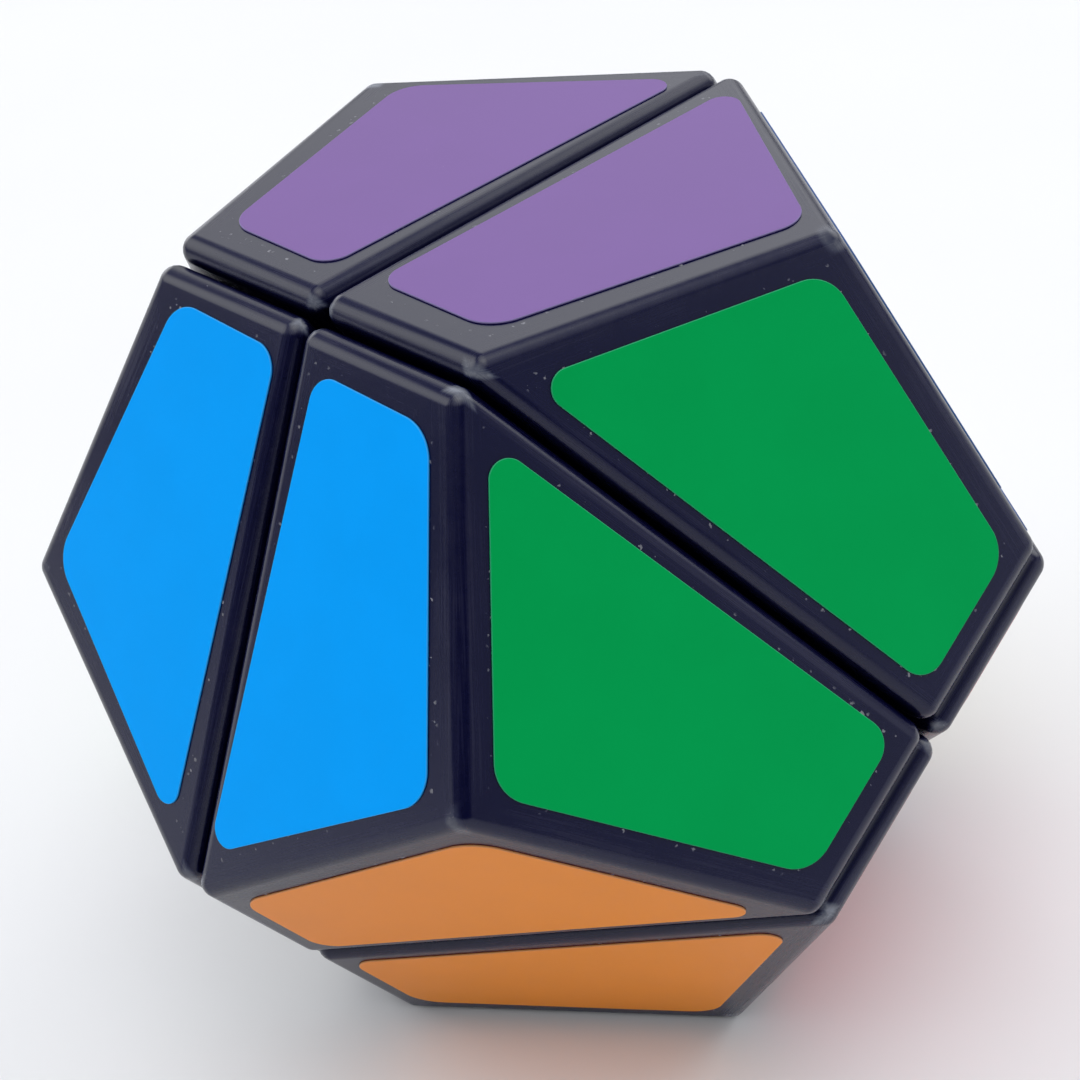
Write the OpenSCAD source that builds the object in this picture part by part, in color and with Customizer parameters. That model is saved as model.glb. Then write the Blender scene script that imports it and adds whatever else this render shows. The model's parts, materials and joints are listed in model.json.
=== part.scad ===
// Dodecahedron twisty puzzle.
// A dodecahedron is cut by three square planes through its centre into eight corner pieces.
// A hidden ball mechanism of core, screws, springs, centre caps, edge sliders and corner feet
// holds the corners together and lets one half turn against the other.
// The puzzle stands on one pentagon. The centre of that pentagon is the origin and +Z is up.

/* [Puzzle] */
// Distance between two opposite plastic faces
face_to_face = 66; // [62:1:80]
// Gap between neighbouring corner pieces at a cut plane
piece_gap = 0.4; // [0.3:0.05:0.6]
// Radius on every outside edge of a corner piece
edge_round = 1.3; // [0.8:0.1:1.8]
// Wall of a moulded corner shell
wall = 1.8; // [1.4:0.1:2.2]

/* [Stickers] */
// Thickness of the vinyl
sticker_thick = 0.15; // [0.1:0.05:0.4]
// Bare margin along an uncut edge of the dodecahedron
margin_edge = 2.4; // [2:0.1:3]
// Bare margin along an edge that lies on a cut plane
margin_cut_edge = 3.75; // [3:0.05:4.5]
// Bare margin along the cut through the middle of a face
margin_face_cut = 2.2; // [1.8:0.1:3]
// Radius of a sticker's sharp corner
tip_round = 1.4; // [1:0.1:1.8]
// Radius of a sticker's square corner
square_round = 2; // [1:0.1:2.6]
// Radius of a sticker's two blunt corners
blunt_round = 3; // [1:0.1:3.4]

/* [Mechanism] */
// Outer radius of the ball that the caps, sliders and feet form
ball_r = 19; // [18.5:0.1:19.5]
// Radius of the step between the inner and the outer layer of the ball
step_r = 14.4; // [14:0.1:14.8]
// Inner radius of the inner layer
inner_r = 9.6; // [9.5:0.1:10]
// Half width of a centre cap in the outer layer
cap_half = 7.4; // [7:0.1:7.8]
// Half width of a centre cap's stem in the inner layer
stem_half = 4.8; // [4.6:0.1:5]
// Running gap between the pieces of the ball
play = 0.3; // [0.2:0.05:0.4]

/* [Hardware] */
// Screw shank diameter
shank_d = 2.5; // [2:0.1:2.6]
// Screw head diameter
head_d = 5.2; // [4.8:0.1:5.4]
// Screw head height
head_h = 1.8; // [1.4:0.1:2]
// Washer outer diameter
washer_d = 5.8; // [5.4:0.1:6]
// Washer thickness
washer_h = 0.4; // [0.3:0.1:0.5]
// Spring wire diameter
wire_d = 0.6; // [0.4:0.1:0.7]
// Turns of each spring
spring_turns = 4; // [3:1:5]

/* [Hidden] */
phi = (1 + sqrt(5)) / 2;
normal_len = sqrt(phi * phi + 1);
face_r = face_to_face / 2;
// Half the side of the cube whose corners are eight of the dodecahedron's vertices
unit = face_r * normal_len / (phi * phi);
centre_z = face_r + sticker_thick;
// Facets of the edge fillets, the ball, turned parts and small bores
round_steps = 8;
ball_fn = 96;
turned_fn = 48;
bore_fn = 32;
// Longer than anything that is cut, and how far a cutting shape reaches past a surface
far = 60;
over = 1;

// The mechanism's axes in the standing puzzle
turned = 54;
tilt_x = [-sin(turned), cos(turned), 0];
tilt_y = [-cos(turned), -sin(turned), phi] / normal_len;
tilt_z = [phi * cos(turned), phi * sin(turned), 1] / normal_len;

// Planes of the corner piece in the positive octant: three pentagons, then three cuts
NORMALS = [
    [0, phi, 1] / normal_len, [1, 0, phi] / normal_len, [phi, 1, 0] / normal_len,
    [-1, 0, 0], [0, -1, 0], [0, 0, -1]
];
// The three planes that meet at each of its eight vertices
VERTICES = [
    [3, 4, 5], [2, 4, 5], [0, 3, 5], [1, 3, 4],
    [0, 1, 2], [0, 1, 3], [0, 2, 5], [1, 2, 4]
];

// Mechanism layers
gap_in = stem_half + play / 2;
gap_out = cap_half + play / 2;
cap_in = stem_half - play / 2;
cap_out = cap_half - play / 2;
cavity_r = ball_r + play;

// Stations along a screw, measured from the centre of the puzzle
core_r = 6;
arm_r = 3;
arm_clear = 0.7;
arm_end = inner_r - arm_clear;
screw_end = 1.8;
cap_floor = 12;
spring_seat = 0.15;
spring_base = cap_floor + spring_seat;
spring_top = 15.9;
washer_base = 16;
head_base = washer_base + washer_h;
head_top = head_base + head_h;
fit = 0.05;
washer_play = 0.1;
shank_play = 0.25;
counterbore_r = 3.15;
coil_r = 2.4;
wire_sides = 6;
steps_per_turn = 12;
recess_deep = 0.9;
recess_w = 0.7;
recess_long = 3.2;

// Plug that joins a corner foot to its shell
plug_r = 3.2;
plug_start = 17.8;
plug_proud = 2.5;
plug_end = cavity_r + wall + plug_proud;
diagonal_tilt = acos(1 / sqrt(3));

X_SIDE = ["right", "middle", "left"];
Y_SIDE = ["lower", "middle", "upper"];
Z_SIDE = ["front", "middle", "back"];
function place_name(p) = str(
    p.y == 0 ? "" : Y_SIDE[p.y + 1],
    p.y != 0 && p.z != 0 ? "_" : "",
    p.z == 0 ? "" : Z_SIDE[p.z + 1],
    (p.y != 0 || p.z != 0) && p.x != 0 ? "_" : "",
    p.x == 0 ? "" : X_SIDE[p.x + 1]
);

SIGNS = [1, -1];
OCTANTS = [for (y = SIGNS, z = SIGNS, x = SIGNS) [x, y, z]];
AXES = [[0, 1, 0], [0, -1, 0], [1, 0, 0], [-1, 0, 0], [0, 0, 1], [0, 0, -1]];
EDGES = [
    for (a = SIGNS, b = SIGNS) [a, b, 0],
    for (a = SIGNS, b = SIGNS) [0, a, b],
    for (a = SIGNS, b = SIGNS) [a, 0, b]
];

// Pentagons: name, colour, family of the normal, and the signs of one half's octant.
// The other half lies across the cut, which mirrors the axis that the family's number names.
FACES = [
    ["purple", "#8a6fb4", 0, [1, 1, 1]],
    ["blue", "#0f98f6", 0, [1, 1, -1]],
    ["green", "#069548", 2, [-1, 1, 1]],
    ["pink", "#ef86b0", 2, [1, 1, 1]],
    ["cream", "#efe6c4", 0, [1, -1, 1]],
    ["grey", "#8d9298", 0, [1, -1, -1]],
    ["lime", "#8cc63f", 2, [1, -1, 1]],
    ["red", "#c8202c", 2, [-1, -1, 1]]
];
SPLIT_FACES = [
    ["orange", "#d9783a", 1, [-1, 1, -1]],
    ["yellow", "#f4d21f", 1, [1, 1, 1]],
    ["navy", "#1f3f96", 1, [-1, 1, 1]],
    ["white", "#f2f2ee", 1, [1, 1, -1]]
];
// Axis that is mirrored to reach the other half of a pentagon of each family
ACROSS = [[-1, 1, 1], [1, -1, 1], [1, 1, -1]];

// Point where three planes meet
function meet(a, b, c, da, db, dc) =
    (da * cross(b, c) + db * cross(c, a) + dc * cross(a, b)) / (a * cross(b, c));
function unit_vector(v) = v / norm(v);

// Distance of plane k of the corner piece from the centre, moved inwards by t
function plane_at(k, t) = (k < 3 ? face_r : -piece_gap / 2) - t;
function corner_at(v, t) = meet(
    NORMALS[v[0]], NORMALS[v[1]], NORMALS[v[2]],
    plane_at(v[0], t), plane_at(v[1], t), plane_at(v[2], t)
);

// Part of a ball around a vertex, between the normals of the planes that meet there
function ball_patch(v, r) = [
    for (i = [0 : round_steps], j = [0 : round_steps - i])
        corner_at(v, r) + r * unit_vector(
            i * NORMALS[v[0]] + j * NORMALS[v[1]] + (round_steps - i - j) * NORMALS[v[2]])
];

module solid_of(points) {
    hull() polyhedron(points = points, faces = [[for (k = [0 : len(points) - 1]) k]]);
}

// From the mechanism's axes to the standing puzzle
module stand() {
    translate([0, 0, centre_z])
        multmatrix([
            [tilt_x.x, tilt_y.x, tilt_z.x, 0],
            [tilt_x.y, tilt_y.y, tilt_z.y, 0],
            [tilt_x.z, tilt_y.z, tilt_z.z, 0],
            [0, 0, 0, 1]
        ])
            children();
}

// From the positive octant to another one
module octant(signs) {
    mirror([signs.x < 0 ? 1 : 0, 0, 0])
        mirror([0, signs.y < 0 ? 1 : 0, 0])
            mirror([0, 0, signs.z < 0 ? 1 : 0])
                children();
}

// Turns +Z to one of the six axes
module along(p) {
    if (p.x != 0) rotate([0, 90 * p.x, 0]) children();
    else if (p.y != 0) rotate([-90 * p.y, 0, 0]) children();
    else rotate([p.z > 0 ? 0 : 180, 0, 0]) children();
}

// Turns +Z to the diagonal of the positive octant
module along_diagonal() {
    rotate([0, 0, 45]) rotate([0, diagonal_tilt, 0]) children();
}

// Part of the ball between two radii, inside a box that runs from low to high
module ball_block(low, high, r_in, r_out) {
    difference() {
        intersection() {
            sphere(r = r_out, $fn = ball_fn);
            translate(low) cube(high - low);
        }
        sphere(r = r_in, $fn = ball_fn);
    }
}

// A piece of the ball: a wide inner layer, a wide outer layer and a column through both
module ball_piece(in_low, in_high, out_low, out_high) {
    column_low = [for (k = [0 : 2]) max(in_low[k], out_low[k])];
    column_high = [for (k = [0 : 2]) min(in_high[k], out_high[k])];
    ball_block(in_low, in_high, inner_r, step_r);
    ball_block(out_low, out_high, step_r + play, ball_r);
    ball_block(column_low, column_high, inner_r, ball_r);
}

module core() {
    color("#2b2b30")
        stand()
            difference() {
                union() {
                    sphere(r = core_r, $fn = ball_fn);
                    for (p = AXES) along(p) cylinder(r = arm_r, h = arm_end, $fn = turned_fn);
                }
                for (p = AXES)
                    along(p)
                        translate([0, 0, screw_end])
                            cylinder(d = shank_d + 2 * fit, h = far, $fn = bore_fn);
            }
}

module screw() {
    difference() {
        union() {
            translate([0, 0, screw_end + fit])
                cylinder(d = shank_d, h = head_base - screw_end, $fn = bore_fn);
            translate([0, 0, head_base]) cylinder(d = head_d, h = head_h, $fn = turned_fn);
        }
        for (turn = [0, 90])
            rotate([0, 0, turn])
                translate([-recess_long / 2, -recess_w / 2, head_top - recess_deep])
                    cube([recess_long, recess_w, far]);
    }
}

module screws() {
    color("#b9bcc2") stand() for (p = AXES) along(p) screw();
}

module washer() {
    translate([0, 0, washer_base])
        difference() {
            cylinder(d = washer_d, h = washer_h, $fn = turned_fn);
            translate([0, 0, -over])
                cylinder(d = shank_d + 2 * washer_play, h = washer_h + 2 * over, $fn = bore_fn);
        }
}

module washers() {
    color("#d0d2d6") stand() for (p = AXES) along(p) washer();
}

// Point k of ring i on the wire of a coil spring
function wire_point(i, k) =
    let (
        turn = 360 * i / steps_per_turn,
        rise = (spring_top - spring_base - wire_d) * i / (spring_turns * steps_per_turn),
        around = 360 * k / wire_sides,
        r = coil_r + wire_d / 2 * cos(around)
    )
    [r * cos(turn), r * sin(turn), spring_base + wire_d / 2 + rise + wire_d / 2 * sin(around)];

module spring() {
    rings = spring_turns * steps_per_turn;
    last = rings * wire_sides;
    points = [for (i = [0 : rings], k = [0 : wire_sides - 1]) wire_point(i, k)];
    sides = [
        for (i = [0 : rings - 1], k = [0 : wire_sides - 1])
            let (a = i * wire_sides, b = a + wire_sides, n = (k + 1) % wire_sides)
            each [[a + k, a + n, b + n], [a + k, b + n, b + k]]
    ];
    ends = [
        [for (k = [wire_sides - 1 : -1 : 0]) k],
        [for (k = [0 : wire_sides - 1]) last + k]
    ];
    polyhedron(points = points, faces = concat(sides, ends));
}

module springs() {
    color("#c8cacf") stand() for (p = AXES) along(p) spring();
}

module centre_cap(p) {
    color("#36363c")
        stand()
            along(p)
                difference() {
                    ball_piece(
                        [-cap_in, -cap_in, 0], [cap_in, cap_in, far],
                        [-cap_out, -cap_out, 0], [cap_out, cap_out, far]
                    );
                    cylinder(d = shank_d + 2 * shank_play, h = far, $fn = turned_fn);
                    translate([0, 0, cap_floor]) cylinder(r = counterbore_r, h = far, $fn = turned_fn);
                }
}

// The box of a slider or foot along one axis: across the middle, or on one side of it
function low_end(s, half, gap) = s == 0 ? -half : s > 0 ? gap : -far;
function high_end(s, half, gap) = s == 0 ? half : s > 0 ? far : -gap;

module edge_slider(p) {
    color("#36363c")
        stand()
            ball_piece(
                [for (k = [0 : 2]) low_end(p[k], cap_in, gap_in)],
                [for (k = [0 : 2]) high_end(p[k], cap_in, gap_in)],
                [for (k = [0 : 2]) low_end(p[k], cap_out, gap_out)],
                [for (k = [0 : 2]) high_end(p[k], cap_out, gap_out)]
            );
}

module corner_foot(signs) {
    color("#36363c")
        stand()
            octant(signs) {
                ball_piece(
                    [gap_in, gap_in, gap_in], [far, far, far],
                    [gap_out, gap_out, gap_out], [far, far, far]
                );
                along_diagonal()
                    translate([0, 0, plug_start])
                        cylinder(r = plug_r, h = plug_end - plug_start, $fn = turned_fn);
            }
}

module corner_shell(signs) {
    color("#26262c")
        stand()
            octant(signs)
                difference() {
                    solid_of([for (v = VERTICES) each ball_patch(v, edge_round)]);
                    difference() {
                        solid_of([for (v = VERTICES) corner_at(v, wall)]);
                        sphere(r = cavity_r + wall, $fn = ball_fn);
                    }
                    sphere(r = cavity_r, $fn = ball_fn);
                    along_diagonal()
                        cylinder(r = plug_r + fit, h = cavity_r + wall + over, $fn = turned_fn);
                }
}

// Half a pentagon in its own plane: tip of the cut, side vertex, base vertex, middle of the base.
// Each side's bare margin and each corner's radius follow in the same order.
HALF = unit * [[0, normal_len], [1, sqrt(5) / normal_len], [1 / phi, 0], [0, 0]];
MARGINS = [margin_edge, margin_edge, margin_cut_edge, margin_face_cut];
ROUNDS = [tip_round, blunt_round, blunt_round, square_round];
arc_steps = 12;

function side(k) = unit_vector(HALF[(k + 1) % 4] - HALF[k % 4]);

// Arc from the side before corner k to the side after it, each moved in by its own margin
function sticker_corner(k) =
    let (
        a = side(k + 3),
        b = side(k),
        turn = asin(b.x * a.y - b.y * a.x),
        angle = a * b < 0 ? 180 - turn : turn,
        corner = HALF[k] - (MARGINS[k] * a - MARGINS[(k + 3) % 4] * b) / sin(angle),
        centre = corner - a * ROUNDS[k] * tan(angle / 2) + ROUNDS[k] * [a.y, -a.x],
        start = atan2(a.x, -a.y)
    )
    [for (i = [0 : arc_steps]) let (t = start - angle * i / arc_steps)
        centre + ROUNDS[k] * [cos(t), sin(t)]];

module half_sticker(family, signs) {
    stand()
        octant(signs)
            multmatrix(family == 0 ? [[1, 0, 0, 0], [0, 1, 0, 0], [0, 0, 1, 0]]
                : family == 1 ? [[0, 0, 1, 0], [1, 0, 0, 0], [0, 1, 0, 0]]
                : [[0, 1, 0, 0], [0, 0, 1, 0], [1, 0, 0, 0]])
                multmatrix([
                    [1, 0, 0, 0],
                    [0, -1 / normal_len, phi / normal_len, phi * unit],
                    [0, phi / normal_len, 1 / normal_len, 0]
                ])
                    linear_extrude(sticker_thick)
                        polygon([for (k = [0 : 3]) each sticker_corner(k)]);
}

// Signs of the octant across a pentagon's cut
function across(f) = [for (k = [0 : 2]) f[3][k] * ACROSS[f[2]][k]];

module stickers(f) {
    color(f[1]) {
        half_sticker(f[2], f[3]);
        half_sticker(f[2], across(f));
    }
}

module sticker(f, y) {
    color(f[1]) half_sticker(f[2], y > 0 ? f[3] : across(f));
}

core();
screws();
springs();
washers();
for (p = AXES)
    centre_cap(p);
for (p = EDGES)
    edge_slider(p);
for (p = OCTANTS)
    corner_foot(p);
for (p = OCTANTS)
    corner_shell(p);
for (f = FACES)
    stickers(f);
for (f = SPLIT_FACES, y = SIGNS)
    sticker(f, y);
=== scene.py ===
"""Dodecahedron twisty puzzle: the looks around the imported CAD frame. Every length is in metres."""
import bmesh
import bpy
import json
import math
import random
from mathutils import Matrix, Vector


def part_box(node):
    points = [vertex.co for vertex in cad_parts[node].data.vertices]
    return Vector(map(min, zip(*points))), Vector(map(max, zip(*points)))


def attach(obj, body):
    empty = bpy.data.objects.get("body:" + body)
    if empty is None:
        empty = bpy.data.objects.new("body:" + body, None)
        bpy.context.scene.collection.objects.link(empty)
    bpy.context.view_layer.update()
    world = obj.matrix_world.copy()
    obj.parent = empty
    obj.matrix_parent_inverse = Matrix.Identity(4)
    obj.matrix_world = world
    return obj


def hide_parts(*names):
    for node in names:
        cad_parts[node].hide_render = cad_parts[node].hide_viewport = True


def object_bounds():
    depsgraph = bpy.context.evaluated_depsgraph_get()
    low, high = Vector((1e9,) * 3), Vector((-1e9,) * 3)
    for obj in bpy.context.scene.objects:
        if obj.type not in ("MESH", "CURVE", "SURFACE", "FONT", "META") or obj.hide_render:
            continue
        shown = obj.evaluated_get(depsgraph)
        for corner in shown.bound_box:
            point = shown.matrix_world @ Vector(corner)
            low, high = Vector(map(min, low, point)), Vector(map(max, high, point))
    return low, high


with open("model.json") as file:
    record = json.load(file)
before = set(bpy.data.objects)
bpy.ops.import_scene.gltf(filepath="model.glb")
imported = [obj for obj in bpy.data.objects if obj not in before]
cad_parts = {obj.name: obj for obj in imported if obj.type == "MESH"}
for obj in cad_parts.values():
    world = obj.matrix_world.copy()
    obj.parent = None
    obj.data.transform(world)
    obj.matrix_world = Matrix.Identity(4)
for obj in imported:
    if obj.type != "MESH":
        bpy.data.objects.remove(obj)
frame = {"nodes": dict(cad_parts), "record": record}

CAD_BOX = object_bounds()
MM = 0.001

# ---------------------------------------------------------------------------- the puzzle's geometry
PHI = (1 + math.sqrt(5)) / 2
NORMAL_LEN = math.sqrt(PHI * PHI + 1)
STICKER_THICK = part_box("stickers_grey")[1].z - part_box("stickers_grey")[0].z
CENTRE = Vector((0, 0, (CAD_BOX[0].z + CAD_BOX[1].z) / 2))
FACE_R = CENTRE.z - STICKER_THICK
UNIT = FACE_R * NORMAL_LEN / (PHI * PHI)

# The three turning axes of the mechanism, as the puzzle stands. The top pentagon's cut runs at CUT_TURN
# from +X towards +Y.
CUT_TURN = math.radians(54)
AXIS_X = Vector((-math.sin(CUT_TURN), math.cos(CUT_TURN), 0))
AXIS_Y = Vector((-math.cos(CUT_TURN), -math.sin(CUT_TURN), PHI)) / NORMAL_LEN
AXIS_Z = AXIS_X.cross(AXIS_Y)
STAND = Matrix.Translation(CENTRE) @ Matrix((AXIS_X, AXIS_Y, AXIS_Z)).transposed().to_4x4()

# Pentagons: colour, family of the normal, and the signs of one half's octant. The other half lies
# across the cut, which mirrors the axis that the family's number names.
FACES = {
    "purple": (0, (1, 1, 1)),
    "blue": (0, (1, 1, -1)),
    "green": (2, (-1, 1, 1)),
    "pink": (2, (1, 1, 1)),
    "cream": (0, (1, -1, 1)),
    "grey": (0, (1, -1, -1)),
    "lime": (2, (1, -1, 1)),
    "red": (2, (-1, -1, 1)),
    "orange": (1, (-1, 1, -1)),
    "yellow": (1, (1, 1, 1)),
    "navy": (1, (-1, 1, 1)),
    "white": (1, (1, 1, -1)),
}
SIDE_WORDS = (("left", "right"), ("upper", "lower"), ("back", "front"))

# ---------------------------------------------------------------------------- stickers
# A half pentagon's corners, in its own plane: x away from the cut, y along it towards the tip. MARGINS
# are the plastic left bare along the side that starts at each corner, ROUNDS the corners' radii.
TIP, SIDE, BASE, MIDDLE = range(4)
HALF = [Vector(p) * UNIT for p in ((0, NORMAL_LEN), (1, math.sqrt(5) / NORMAL_LEN), (1 / PHI, 0), (0, 0))]
MARGINS = [2.4 * MM, 2.4 * MM, 3.75 * MM, 2.2 * MM]
ROUNDS = [1.4 * MM, 3.0 * MM, 3.0 * MM, 2.0 * MM]
ARC_STEPS = 16
LIP = 0.07 * MM
LIP_STEPS = 4
PLACING_SHIFT = 0.10 * MM
PLACING_TURN = math.radians(0.25)
PLACING_SEED = 7
# Four stickers that were laid further off: how far from the cut, how far towards the tip, and the turn
LAID_OFF = {
    "vinyl_purple_left": (0.0, 1.0 * MM, math.radians(1.8)),
    "vinyl_purple_right": (0.1 * MM, 1.2 * MM, math.radians(-1.2)),
    "vinyl_blue_left": (0.0, -0.2 * MM, math.radians(-2.2)),
    "vinyl_blue_right": (0.0, 0.5 * MM, math.radians(2.0)),
}


def outline(inset=0.0):
    """Points round a half-pentagon sticker, moved in by inset, clockwise from its tip."""
    sides = [(HALF[(k + 1) % 4] - HALF[k]).normalized() for k in range(4)]
    points = []
    for k in range(4):
        a, b = sides[k - 1], sides[k]
        angle = math.acos(a.dot(b))
        margin_a, margin_b = MARGINS[k - 1] + inset, MARGINS[k] + inset
        corner = HALF[k] - (margin_b * a - margin_a * b) / math.sin(angle)
        radius = ROUNDS[k] - inset
        centre = corner - a * radius * math.tan(angle / 2) + radius * Vector((a.y, -a.x))
        start = math.atan2(a.x, -a.y)
        for i in range(ARC_STEPS + 1):
            t = start - angle * i / ARC_STEPS
            points.append(centre + radius * Vector((math.cos(t), math.sin(t))))
    return points


def face_matrix(family, signs):
    """From a half pentagon's own plane to its place on the standing puzzle."""
    plane = Matrix((
        (1, 0, 0, 0),
        (0, -1 / NORMAL_LEN, PHI / NORMAL_LEN, PHI * UNIT),
        (0, PHI / NORMAL_LEN, 1 / NORMAL_LEN, 0),
        (0, 0, 0, 1),
    ))
    shift = Matrix(((0, 0, 1, 0), (1, 0, 0, 0), (0, 1, 0, 0), (0, 0, 0, 1)))
    cycle = Matrix.Identity(4)
    for _ in range(family):
        cycle = shift @ cycle
    octant = Matrix.Diagonal((*signs, 1))
    return STAND @ octant @ cycle @ plane


def sticker_mesh(name, place, rng):
    """A thin vinyl plate with a rounded upper lip, laid by hand a little off its ideal place."""
    rings = [(0.0, 0.0), (0.0, STICKER_THICK - LIP)]
    for i in range(1, LIP_STEPS + 1):
        t = math.pi / 2 * i / LIP_STEPS
        rings.append((LIP * (1 - math.cos(t)), STICKER_THICK - LIP + LIP * math.sin(t)))
    middle = sum(HALF, Vector((0, 0))) / len(HALF)
    away, along, turned = LAID_OFF.get(name, (0.0, 0.0, 0.0))
    turn = Matrix.Rotation(turned + rng.uniform(-PLACING_TURN, PLACING_TURN), 2)
    shift = Vector((away, along))
    shift += Vector((rng.uniform(-PLACING_SHIFT, PLACING_SHIFT), rng.uniform(-PLACING_SHIFT, PLACING_SHIFT)))
    mesh = bmesh.new()
    loops = []
    for inset, height in rings:
        points = [middle + turn @ (p - middle) + shift for p in outline(inset)]
        loops.append([mesh.verts.new(place @ Vector((p.x, p.y, height))) for p in points])
    for low, high in zip(loops, loops[1:]):
        for k in range(len(low)):
            n = (k + 1) % len(low)
            mesh.faces.new((low[k], low[n], high[n], high[k]))
    top = mesh.faces.new(loops[-1])
    bottom = mesh.faces.new(loops[0])
    bmesh.ops.recalc_face_normals(mesh, faces=mesh.faces)
    for f in mesh.faces:
        f.smooth = f not in (top, bottom)
    data = bpy.data.meshes.new(name)
    mesh.to_mesh(data)
    mesh.free()
    return data


def add_object(name, data, material):
    obj = bpy.data.objects.new(name, data)
    bpy.context.scene.collection.objects.link(obj)
    data.materials.append(material)
    return obj


def cad_sticker(colour, signs):
    """The CAD node that holds this half, and the body that it rides on."""
    level = "upper" if signs[1] > 0 else "lower"
    node = f"stickers_{colour}"
    if node not in frame["nodes"]:
        node = f"sticker_{colour}_{level}"
    return node, f"{level}_half"


def make_stickers(materials):
    rng = random.Random(PLACING_SEED)
    for colour, (family, signs) in FACES.items():
        for half in (1, -1):
            here = list(signs)
            here[family] *= half
            word = SIDE_WORDS[family][0 if here[family] > 0 else 1]
            name = f"vinyl_{colour}_{word}"
            mesh = sticker_mesh(name, face_matrix(family, here), rng)
            piece = add_object(name, mesh, materials[f"sticker_{colour}"])
            node, body = cad_sticker(colour, here)
            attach(piece, body)
            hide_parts(node)


# ---------------------------------------------------------------------------- materials
# Specks: how far noise pushes their outline, the smallest one and the even middle, as shares of a radius
SPECK_RAGGED = 3
SPECK_SMALLEST = 0.4
SPECK_CORE = 0.6


class Shader:
    """A material's node tree, with short ways to add nodes and to join them."""

    def __init__(self, name):
        self.material = bpy.data.materials.new(name)
        self.material.use_nodes = True
        self.tree = self.material.node_tree
        self.bsdf = self.tree.nodes["Principled BSDF"]
        self.place = self.add("ShaderNodeTexCoord").outputs["Object"]

    def add(self, kind, **settings):
        node = self.tree.nodes.new(kind)
        for key, value in settings.items():
            setattr(node, key, value)
        return node

    def join(self, source, socket):
        if isinstance(source, (int, float, tuple)):
            socket.default_value = source
        else:
            self.tree.links.new(source, socket)

    def math(self, operation, *inputs, clamp=False):
        node = self.add("ShaderNodeMath", operation=operation, use_clamp=clamp)
        for source, socket in zip(inputs, node.inputs):
            self.join(source, socket)
        return node.outputs[0]

    def vector(self, operation, *inputs):
        node = self.add("ShaderNodeVectorMath", operation=operation)
        for source, socket in zip(inputs, node.inputs):
            self.join(source, socket)
        return node.outputs["Value" if operation in ("DOT_PRODUCT", "LENGTH") else "Vector"]

    def noise(self, size, detail=2.0, roughness=0.5, place=None):
        """Smooth noise from 0 to 1 whose features are about size metres wide."""
        node = self.add("ShaderNodeTexNoise")
        self.join(place or self.place, node.inputs["Vector"])
        node.inputs["Scale"].default_value = 1 / size
        node.inputs["Detail"].default_value = detail
        node.inputs["Roughness"].default_value = roughness
        return node.outputs["Fac"]

    def ramp(self, value, low, high, out_low=0.0, out_high=1.0, smooth=True):
        """value between low and high becomes out_low to out_high."""
        node = self.add("ShaderNodeMapRange", interpolation_type="SMOOTHSTEP" if smooth else "LINEAR")
        for source, socket in zip((value, low, high, out_low, out_high), node.inputs):
            self.join(source, socket)
        return node.outputs[0]

    def mix(self, amount, first, second):
        node = self.add("ShaderNodeMix", data_type="RGBA")
        self.join(amount, node.inputs["Factor"])
        colours = [s for s in node.inputs if s.type == "RGBA"]
        self.join(first, colours[0])
        self.join(second, colours[1])
        return [s for s in node.outputs if s.type == "RGBA"][0]

    def specks(self, spacing, radius, share):
        """1 inside small ragged specks, in that share of the cells of a grid spacing metres wide."""
        ragged = self.add("ShaderNodeTexNoise")
        self.join(self.place, ragged.inputs["Vector"])
        ragged.inputs["Scale"].default_value = 1 / (2 * radius)
        off = self.vector("SUBTRACT", ragged.outputs["Color"], (0.5, 0.5, 0.5))
        off = self.vector("MULTIPLY", off, (SPECK_RAGGED * radius,) * 3)
        node = self.add("ShaderNodeTexVoronoi", feature="F1")
        self.join(self.vector("ADD", self.place, off), node.inputs["Vector"])
        node.inputs["Scale"].default_value = 1 / spacing
        size = self.channel(node.outputs["Color"], "Green")
        size = self.ramp(size, 0.0, 1.0, SPECK_SMALLEST, 1.0, smooth=False)
        size = self.math("MULTIPLY", size, radius / spacing)
        inside = self.ramp(node.outputs["Distance"], size, self.math("MULTIPLY", size, SPECK_CORE))
        chosen = self.math("LESS_THAN", self.channel(node.outputs["Color"], "Red"), share)
        return self.math("MULTIPLY", inside, chosen)

    def spread(self, value):
        """A vector with the same value three times."""
        node = self.add("ShaderNodeCombineXYZ")
        for socket in node.inputs:
            self.join(value, socket)
        return node.outputs[0]

    def channel(self, colour, name):
        node = self.add("ShaderNodeSeparateColor")
        self.join(colour, node.inputs[0])
        return node.outputs[name]

    def bumps(self, *layers):
        """Each layer is (height from 0 to 1, depth in metres, strength)."""
        normal = None
        for height, depth, strength in layers:
            node = self.add("ShaderNodeBump")
            self.join(height, node.inputs["Height"])
            node.inputs["Distance"].default_value = depth
            node.inputs["Strength"].default_value = strength
            if normal is not None:
                self.join(normal, node.inputs["Normal"])
            normal = node.outputs[0]
        self.join(normal, self.bsdf.inputs["Normal"])

    def set(self, **values):
        names = {"colour": "Base Color", "rough": "Roughness", "metal": "Metallic", "ior": "IOR",
                 "specular": "Specular IOR Level"}
        for key, value in values.items():
            self.join(value, self.bsdf.inputs[names[key]])


# Acute angles between a pentagon and its neighbour, and between a pentagon and the cut at its base
EDGE_ANGLE = math.atan(2)
CUT_EDGE_ANGLE = math.atan(PHI)
# Further than any plane is, and how close to a pentagon a point of the flat plastic lies
FAR = 1.0
ON_FACE = 0.1 * MM


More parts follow.
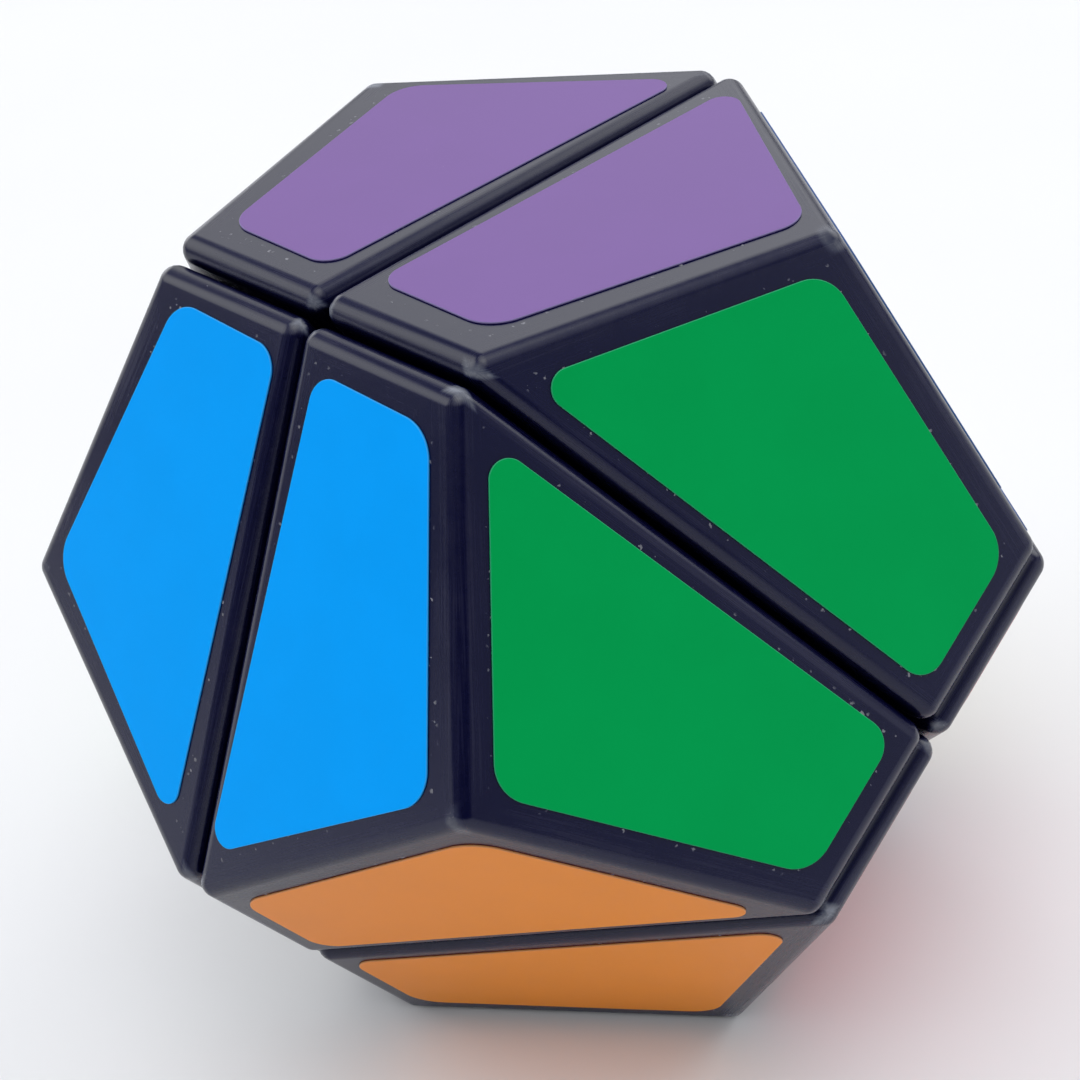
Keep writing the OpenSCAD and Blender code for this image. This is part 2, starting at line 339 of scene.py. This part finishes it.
def plane_distances(s):
    """A point's distances from its three cut planes and from its three pentagons, alike in every octant."""
    local = s.vector("SUBTRACT", s.place, tuple(CENTRE))
    cuts = [s.math("ABSOLUTE", s.vector("DOT_PRODUCT", local, tuple(a))) for a in (AXIS_X, AXIS_Y, AXIS_Z)]
    pentagons = []
    for i in range(3):
        steep = s.math("MULTIPLY", cuts[(i + 1) % 3], PHI / NORMAL_LEN)
        reach = s.math("MULTIPLY_ADD", cuts[(i + 2) % 3], 1 / NORMAL_LEN, steep)
        pentagons.append(s.math("SUBTRACT", FACE_R, reach))
    return cuts, pentagons


def edge_and_corner(s, planes):
    """Distances from the nearest edge and corner: the second and third smallest of those from the planes."""
    nearest, second, third = planes[0], FAR, FAR
    for p in planes[1:]:
        third = s.math("MINIMUM", third, s.math("MAXIMUM", second, p))
        second = s.math("MINIMUM", second, s.math("MAXIMUM", nearest, p))
        nearest = s.math("MINIMUM", nearest, p)
    return second, third


def beside_stickers(s, cuts, pentagons, width):
    """1 along the outlines of the stickers, 0 at width from them."""
    best = 0.0
    for i in range(3):
        sides = [
            s.math("SUBTRACT", cuts[i], MARGINS[MIDDLE]),
            s.math("SUBTRACT", cuts[(i + 2) % 3], MARGINS[BASE] * math.sin(CUT_EDGE_ANGLE)),
        ]
        for k in ((i + 1) % 3, (i + 2) % 3):
            sides.append(s.math("SUBTRACT", pentagons[k], MARGINS[SIDE] * math.sin(EDGE_ANGLE)))
        inside = sides[0]
        for side in sides[1:]:
            inside = s.math("MINIMUM", inside, side)
        near = s.ramp(s.math("ABSOLUTE", inside), width, 0.0)
        on_face = s.math("LESS_THAN", pentagons[i], ON_FACE)
        best = s.math("MAXIMUM", best, s.math("MULTIPLY", near, on_face))
    return best


# The shells' plastic, in linear light
SHELL_DEEP = (0.0020, 0.0027, 0.0215, 1)
SHELL_LIGHT = (0.0032, 0.0042, 0.0275, 1)
STREAK_COLOUR = (0.0220, 0.0225, 0.0480, 1)
RUBBED_COLOUR = (0.0160, 0.0155, 0.0340, 1)
# The pale corner colour is a painted highlight on worn corners, not only wear
CORNER_WEAR_AND_GLINT_COLOUR = (0.1900, 0.2050, 0.2500, 1)
DUST_COLOUR = (0.3000, 0.3000, 0.3300, 1)
SHELL_ROUGH = 0.23
SHELL_IOR = 1.45

# Its wear, and the painted highlight on worn corners: distances from an edge or a corner where each fades out
# and where it is full, and how strong it is
STREAK_REACH = (2.2 * MM, 1.2 * MM)
STREAK_AMOUNT = 0.30
STREAK_LENGTH = 7 * MM
STREAK_WIDTH = 0.22 * MM
RUBBED_REACH = (1.5 * MM, 0.6 * MM)
RUBBED_AMOUNT = 0.25
CORNER_WEAR_AND_GLINT_REACH = (1.5 * MM, 0.9 * MM)
CORNER_WEAR_AND_GLINT_AMOUNT = 0.9
DUST_REACH = 0.5 * MM
DUST_AMOUNT = 0.7


def shell_plastic():
    """Near-black moulded plastic: satin, a little bluish, with paler worn edges, and worn corners that carry
    a painted highlight.
    """
    s = Shader("shell_plastic")
    cuts, pentagons = plane_distances(s)
    edge, corner = edge_and_corner(s, cuts + pentagons)
    patches = s.noise(9 * MM, 3)
    fine = s.noise(0.18 * MM, 2)
    scuffs = s.noise(1.1 * MM, 4, 0.65)
    across = s.math("MULTIPLY", edge, STREAK_LENGTH / STREAK_WIDTH)
    streaks = s.noise(STREAK_LENGTH, 3, 0.6, s.vector("ADD", s.place, s.spread(across)))
    streaks = s.math("MULTIPLY", s.ramp(streaks, 0.42, 0.72), s.ramp(patches, 0.35, 0.60))
    streaks = s.math("MULTIPLY", streaks, s.ramp(edge, *STREAK_REACH, 0.25, 1.0))
    rubbed = s.math("MULTIPLY", s.ramp(edge, *RUBBED_REACH), s.ramp(scuffs, 0.30, 0.70))
    # Corners: wear with a painted highlight, pale at some corners more than others
    corner_wear_and_glint = s.math("MULTIPLY", s.ramp(corner, *CORNER_WEAR_AND_GLINT_REACH), s.ramp(patches, 0.40, 0.55))
    corner_wear_and_glint = s.math("MULTIPLY", corner_wear_and_glint, s.ramp(scuffs, 0.35, 0.60, 0.5, 1.0))
    scattered = s.specks(spacing=1.3 * MM, radius=0.05 * MM, share=0.10)
    lined_up = s.specks(spacing=0.7 * MM, radius=0.18 * MM, share=0.9)
    lined_up = s.math("MULTIPLY", lined_up, beside_stickers(s, cuts, pentagons, DUST_REACH))
    dust = s.math("MAXIMUM", scattered, lined_up)
    colour = s.mix(patches, SHELL_DEEP, SHELL_LIGHT)
    colour = s.mix(s.math("MULTIPLY", streaks, STREAK_AMOUNT), colour, STREAK_COLOUR)
    colour = s.mix(s.math("MULTIPLY", rubbed, RUBBED_AMOUNT), colour, RUBBED_COLOUR)
    colour = s.mix(s.math("MULTIPLY", corner_wear_and_glint, CORNER_WEAR_AND_GLINT_AMOUNT), colour, CORNER_WEAR_AND_GLINT_COLOUR)
    colour = s.mix(s.math("MULTIPLY", dust, DUST_AMOUNT), colour, DUST_COLOUR)
    rough = s.math("MULTIPLY_ADD", scuffs, 0.05, SHELL_ROUGH)
    rough = s.math("MULTIPLY_ADD", streaks, 0.10, rough)
    rough = s.math("MULTIPLY_ADD", dust, 0.4, rough)
    s.set(colour=colour, rough=rough, ior=SHELL_IOR)
    s.bumps((patches, 0.02 * MM, 0.3), (streaks, 0.005 * MM, 0.3), (fine, 0.004 * MM, 0.3))
    return s.material


# The stickers' vinyl, in linear light. Along its cut edge a painted highlight keeps a share of the colour and
# adds a pale bluish tint.
VINYL_COLOURS = {
    "purple": (0.192, 0.104, 0.318),
    "blue": (0.001, 0.348, 1.000),
    "green": (0.001, 0.340, 0.070),
    "orange": (0.900, 0.290, 0.048),
    "red": (0.560, 0.016, 0.022),
    "white": (0.820, 0.820, 0.800),
    "yellow": (0.860, 0.600, 0.015),
    "pink": (0.800, 0.240, 0.400),
    "navy": (0.014, 0.050, 0.290),
    "lime": (0.250, 0.540, 0.040),
    "cream": (0.800, 0.720, 0.480),
    "grey": (0.250, 0.270, 0.300),
}
VINYL_DEEP = 0.97
GLINT_KEEPS = 0.85
GLINT_ADDS = (0.05, 0.09, 0.10)
VINYL_DUST_COLOUR = (0.6, 0.6, 0.6, 1)
VINYL_DUST_AMOUNT = 0.4
VINYL_ROUGH = 0.36
VINYL_IOR = 1.45
VINYL_SPECULAR = 0.09
# How high above the plastic the painted highlight on the cut edge is full, and where it ends, as shares of
# the thickness
GLINT_HEIGHTS = (0.93, 0.995)


def vinyl(name, colour, family):
    """Satin self-adhesive vinyl: even colour, a painted highlight along the cut edge, a fine peel and faint
    waves from the glue.
    """
    s = Shader(name)
    pentagons = plane_distances(s)[1]
    clouds = s.noise(7 * MM, 3)
    peel = s.noise(0.35 * MM, 1)
    waves = s.noise(4.5 * MM, 1)
    dust = s.specks(spacing=1.9 * MM, radius=0.04 * MM, share=0.05)
    full, end = GLINT_HEIGHTS
    # A painted highlight: the cut edge and lip are paler all round
    edge_glint = s.ramp(pentagons[family], -end * STICKER_THICK, -full * STICKER_THICK)
    deep = tuple(c * VINYL_DEEP for c in colour) + (1,)
    pale = tuple(c * GLINT_KEEPS + bare for c, bare in zip(colour, GLINT_ADDS)) + (1,)
    shade = s.mix(s.ramp(clouds, 0.3, 0.7), deep, (*colour, 1))
    shade = s.mix(edge_glint, shade, pale)
    shade = s.mix(s.math("MULTIPLY", dust, VINYL_DUST_AMOUNT), shade, VINYL_DUST_COLOUR)
    rough = s.math("MULTIPLY_ADD", clouds, 0.06, VINYL_ROUGH)
    s.set(colour=shade, rough=rough, ior=VINYL_IOR, specular=VINYL_SPECULAR)
    s.bumps((waves, 0.02 * MM, 0.10), (peel, 0.002 * MM, 0.4))
    return s.material


# The hidden mechanism: a darker and a lighter colour for each plastic, and a colour and a roughness for
# each steel
INNER_PLASTICS = {
    "mechanism_plastic": ((0.020, 0.020, 0.024), (0.034, 0.034, 0.040)),
    "core_plastic": ((0.50, 0.50, 0.47), (0.62, 0.62, 0.59)),
}
STEELS = {
    "screw_steel": ((0.56, 0.56, 0.58), 0.22),
    "spring_steel": ((0.62, 0.62, 0.64), 0.12),
}
TARNISH = 0.82


def inner_plastic(name, dark, light):
    """Unpainted moulded plastic of the hidden mechanism, with a trace of grease."""
    s = Shader(name)
    clouds = s.noise(3 * MM, 3)
    fine = s.noise(0.2 * MM, 2)
    s.set(colour=s.mix(clouds, (*dark, 1), (*light, 1)))
    s.set(rough=s.math("MULTIPLY_ADD", clouds, 0.25, 0.25))
    s.bumps((fine, 0.004 * MM, 0.5))
    return s.material


def steel(name, colour, rough):
    """Drawn or turned steel with fine scratches."""
    s = Shader(name)
    scratches = s.noise(0.12 * MM, 4, 0.7)
    tarnish = s.noise(1.5 * MM, 2)
    s.set(colour=s.mix(tarnish, (*colour, 1), tuple(c * TARNISH for c in colour) + (1,)))
    s.set(rough=s.math("MULTIPLY_ADD", scratches, 0.2, rough), metal=1.0)
    s.bumps((scratches, 0.003 * MM, 0.5))
    return s.material


def make_materials():
    materials = {"shell_plastic": shell_plastic()}
    for name, (dark, light) in INNER_PLASTICS.items():
        materials[name] = inner_plastic(name, dark, light)
    for name, (colour, rough) in STEELS.items():
        materials[name] = steel(name, colour, rough)
    for colour, rgb in VINYL_COLOURS.items():
        materials[f"sticker_{colour}"] = vinyl(f"sticker_{colour}", rgb, FACES[colour][0])
    return materials


# ---------------------------------------------------------------------------- CAD nodes that stay
WELD = 0.002 * MM
# The weighting of normals by area at its strongest, where the largest faces decide
FLATS_FIRST = 100


def dress_cad_nodes(materials):
    """The CAD nodes keep their shape. The shells' normals are weighted, so flats stay flat beside fillets."""
    for row in frame["record"]["subparts"]:
        obj = frame["nodes"][row["node"]]
        obj.data.materials.clear()
        obj.data.materials.append(materials[row["material_slot"]])
        obj.data.polygons.foreach_set("use_smooth", [True] * len(obj.data.polygons))
        if row["node"].startswith("corner_shell"):
            weld = obj.modifiers.new("weld", "WELD")
            weld.merge_threshold = WELD
            normals = obj.modifiers.new("normals", "WEIGHTED_NORMAL")
            normals.mode = "FACE_AREA"
            normals.weight = FLATS_FIRST
            normals.keep_sharp = False


# ---------------------------------------------------------------------------- stage
FLOOR_R = 40.0
FLOOR_SEGMENTS = 96
FLOOR_COLOURS = (0.77, 0.77, 0.785, 1), (0.81, 0.81, 0.82, 1)
FLOOR_ROUGH = 0.6


def make_floor():
    s = Shader("floor")
    grain = s.noise(60 * MM, 2)
    s.set(colour=s.mix(grain, *FLOOR_COLOURS), rough=FLOOR_ROUGH)
    mesh = bmesh.new()
    bmesh.ops.create_circle(mesh, cap_ends=True, radius=FLOOR_R, segments=FLOOR_SEGMENTS)
    data = bpy.data.meshes.new("floor")
    mesh.to_mesh(data)
    mesh.free()
    add_object("floor", data, s.material)


# Soft round lights far away: azimuth from -Y towards +X and elevation of the middle, radius (all in
# degrees), and strength
SOFT_LIGHTS = (
    (62, 12, 24, 0.45),
    (90, 8, 28, 0.80),
    (-135, 8, 28, 2.60),
    (135, 32, 30, 2.70),
    (180, 32, 30, 1.70),
    (-135, 32, 30, 0.30),
    (-90, 32, 30, 2.30),
    (-45, 32, 30, 0.30),
    (0, 60, 34, 1.20),
    (60, 60, 34, 0.95),
    (0, 90, 32, 2.05),
)
AMBIENT = 0.09
BACKDROP = 0.9
LIGHT_COLOUR = (0.96, 0.975, 1.0, 1)


def make_lights():
    """A studio of soft lights: the world's strength is the ambient light and a smooth round lobe for each.
    The camera sees an even pale backdrop instead."""
    world = bpy.data.worlds.new("soft_studio")
    bpy.context.scene.world = world
    world.use_nodes = True
    tree = world.node_tree
    direction = tree.nodes.new("ShaderNodeTexCoord").outputs["Generated"]
    total = tree.nodes.new("ShaderNodeValue").outputs[0]
    total.default_value = AMBIENT
    for azimuth, elevation, rim, strength in SOFT_LIGHTS:
        a, e = math.radians(azimuth), math.radians(elevation)
        towards = tree.nodes.new("ShaderNodeVectorMath")
        towards.operation = "DOT_PRODUCT"
        towards.inputs[1].default_value = (math.sin(a) * math.cos(e), -math.cos(a) * math.cos(e), math.sin(e))
        tree.links.new(direction, towards.inputs[0])
        glow = tree.nodes.new("ShaderNodeMapRange")
        glow.interpolation_type = "SMOOTHSTEP"
        for value, socket in zip((math.cos(math.radians(rim)), 1.0, 0.0, strength), glow.inputs[1:]):
            socket.default_value = value
        tree.links.new(towards.outputs["Value"], glow.inputs[0])
        both = tree.nodes.new("ShaderNodeMath")
        tree.links.new(total, both.inputs[0])
        tree.links.new(glow.outputs[0], both.inputs[1])
        total = both.outputs[0]
    shown = tree.nodes.new("ShaderNodeMix")
    tree.links.new(tree.nodes.new("ShaderNodeLightPath").outputs["Is Camera Ray"], shown.inputs["Factor"])
    tree.links.new(total, shown.inputs["A"])
    shown.inputs["B"].default_value = BACKDROP
    background = tree.nodes["Background"]
    background.inputs["Color"].default_value = LIGHT_COLOUR
    tree.links.new(shown.outputs["Result"], background.inputs["Strength"])


# Levels of linear light and what the picture shows for them, on the curve that serves all three colours
TONES = ((0.010, 0.0045), (0.030, 0.025), (0.080, 0.090), (0.200, 0.212))
ALL_COLOURS = 3


def make_tones():
    """The contrast of a phone's picture: the darkest tones fall and the ones above them rise a little."""
    view = bpy.context.scene.view_settings
    view.view_transform = "Standard"
    view.use_curve_mapping = True
    curve = view.curve_mapping.curves[ALL_COLOURS]
    for level, shown in TONES:
        curve.points.new(level, shown)
    view.curve_mapping.update()


# The camera's place as the photograph has it: round the puzzle, above the horizon, rolled and shifted a
# little. LENS and SENSOR are in Blender's millimetres.
AZIMUTH = math.radians(12.0)
ELEVATION = math.radians(35.4)
ROLL = math.radians(-7.15)
DISTANCE = 176 * MM
ASIDE = -1.2 * MM
ABOVE = 0.9 * MM
LENS = 71.2
SENSOR = 36
CLIP = 10 * MM


def make_camera():
    back = Vector((
        math.sin(AZIMUTH) * math.cos(ELEVATION),
        -math.cos(AZIMUTH) * math.cos(ELEVATION),
        math.sin(ELEVATION),
    ))
    level = Vector((0, 0, 1)).cross(back).normalized()
    right = math.cos(ROLL) * level + math.sin(ROLL) * back.cross(level)
    up = back.cross(right)
    data = bpy.data.cameras.new("camera")
    data.sensor_width = SENSOR
    data.lens = LENS
    data.clip_start = CLIP
    camera = bpy.data.objects.new("camera", data)
    bpy.context.scene.collection.objects.link(camera)
    place = CENTRE + back * DISTANCE + right * ASIDE + up * ABOVE
    camera.matrix_world = Matrix.Translation(place) @ Matrix((right, up, back)).transposed().to_4x4()
    bpy.context.scene.camera = camera


materials = make_materials()
dress_cad_nodes(materials)
make_stickers(materials)
make_floor()
make_lights()
make_tones()
make_camera()
